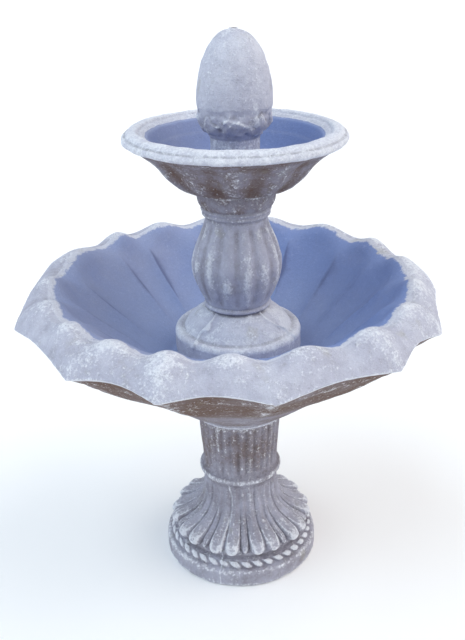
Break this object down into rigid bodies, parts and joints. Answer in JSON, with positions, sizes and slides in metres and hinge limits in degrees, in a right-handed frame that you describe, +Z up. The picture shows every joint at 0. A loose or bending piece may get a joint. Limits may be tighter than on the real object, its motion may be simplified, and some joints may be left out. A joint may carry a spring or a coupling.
{
  "type": "tiered water fountain",
  "caption": "Free-standing two-tier garden fountain: leaf-carved pedestal, wide petal-edged basin, baluster column, round upper bowl and egg finial, with pump inside.",
  "frame": {"origin": "on the ground, on the stacked castings' common axis", "axes": "+Z up along the axis of the stack; -Y is the front, +Y the back with the cord notch and water inlet"},
  "size_m": [0.7759, 0.7841, 1.0415],
  "materials": {
    "cast_stone": "matte",
    "black_rubber": "matte",
    "pump_black": "satin",
    "pump_blue": "satin",
    "clear_pvc": "satin",
    "copper": "satin",
    "steel": "satin",
    "ferrite": "matte",
    "white_ceramic": "satin"
  },
  "bodies": {
    "base": {"base_pedestal": "cast_stone", "basin_pad_1": "black_rubber", "basin_pad_2": "black_rubber", "basin_pad_3": "black_rubber"},
    "basin": {"lower_basin": "cast_stone", "pedestal_pad_1": "black_rubber", "pedestal_pad_2": "black_rubber", "pedestal_pad_3": "black_rubber", "cord_stopper": "black_rubber", "pump_motor": "pump_black", "pump_volute": "pump_black", "pump_strainer": "pump_black", "impeller_shaft": "white_ceramic", "shaft_bush_front": "black_rubber", "shaft_bush_rear": "black_rubber", "suction_cup_1": "black_rubber", "suction_cup_2": "black_rubber", "suction_cup_3": "black_rubber", "suction_cup_4": "black_rubber", "cord_gland": "black_rubber", "riser_tube": "clear_pvc", "hose_clamp": "steel"},
    "column": {"upper_pedestal": "cast_stone", "bowl_gasket": "black_rubber"},
    "bowl": {"upper_bowl": "cast_stone", "tube_stopper": "black_rubber", "finial_gasket": "black_rubber"},
    "finial": {"finial": "cast_stone", "nozzle_tube": "copper"},
    "rotor": {"impeller": "pump_blue", "rotor_magnet": "ferrite"},
    "dial": {"flow_dial": "pump_blue"}
  },
  "joints": [
    {"name": "basin_lift", "type": "slide", "parent": "base", "child": "basin", "axis": [0, 0, 1], "range_m": [0, 0.1]},
    {"name": "column_lift", "type": "slide", "parent": "basin", "child": "column", "axis": [0, 0, 1], "range_m": [0, 0.4]},
    {"name": "bowl_lift", "type": "slide", "parent": "column", "child": "bowl", "axis": [0, 0, 1], "range_m": [0, 0.1]},
    {"name": "finial_lift", "type": "slide", "parent": "bowl", "child": "finial", "axis": [0, 0, 1], "range_m": [0, 0.1]},
    {"name": "impeller_spin", "type": "hinge", "parent": "basin", "child": "rotor", "pos_m": [0, 0, 0.482], "axis": [1, 0, 0], "continuous": true},
    {"name": "flow_dial_turn", "type": "hinge", "parent": "basin", "child": "dial", "pos_m": [0.0208, 0, 0.486], "axis": [1, 0, 0], "range_deg": [0, 90]}
  ]
}
